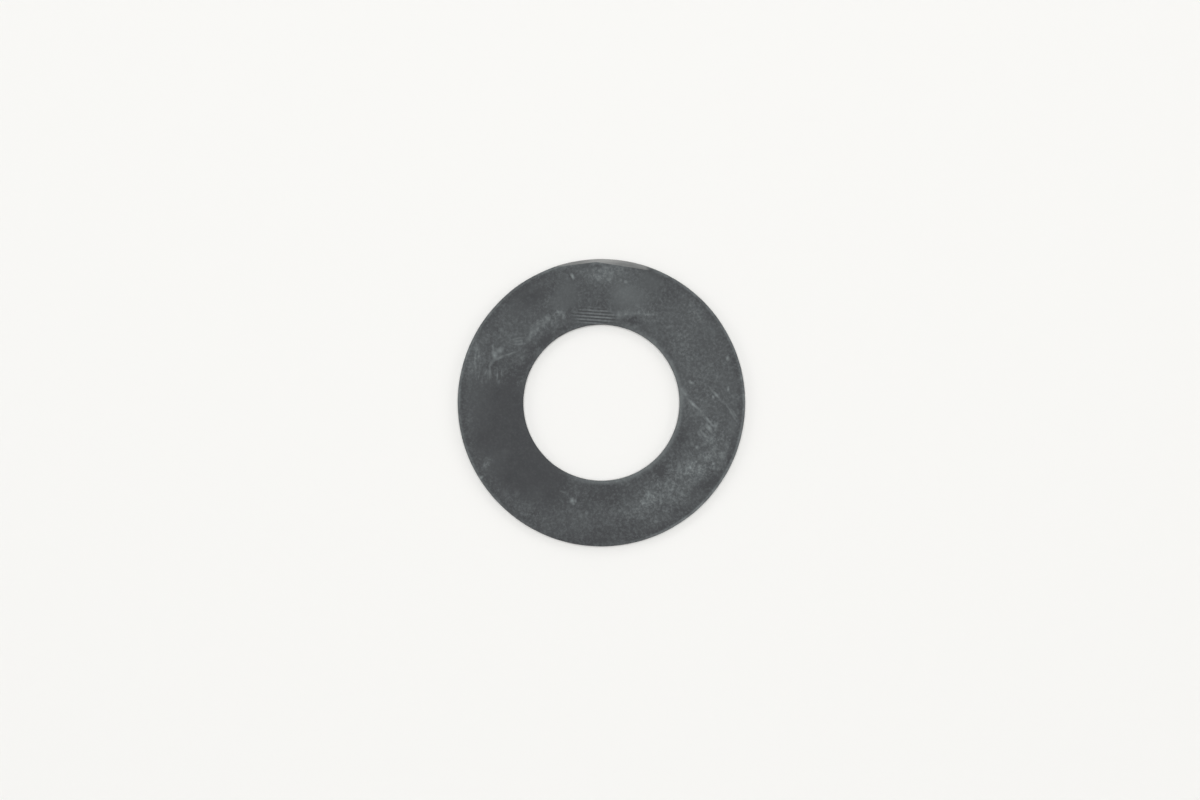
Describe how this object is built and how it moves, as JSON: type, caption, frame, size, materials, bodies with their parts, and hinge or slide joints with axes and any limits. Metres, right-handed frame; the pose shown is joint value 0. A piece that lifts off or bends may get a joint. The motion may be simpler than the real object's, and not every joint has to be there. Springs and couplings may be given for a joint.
{
  "type": "rubber washer",
  "caption": "Flat rubber washer with a round hole, rounded upper edges and a small pared mark on its rim.",
  "frame": {"origin": "centre of the hole, on the plane of the underside", "axes": "+Z along the axis of the hole, from the underside to the face with the rounded edges; the pared mark on the rim lies near +Y"},
  "size_m": [0.0408, 0.0408, 0.0016],
  "materials": {
    "rubber": "matte, with a dusty bloom"
  },
  "bodies": {
    "root": {"rubber_washer": "rubber"}
  },
  "joints": []
}
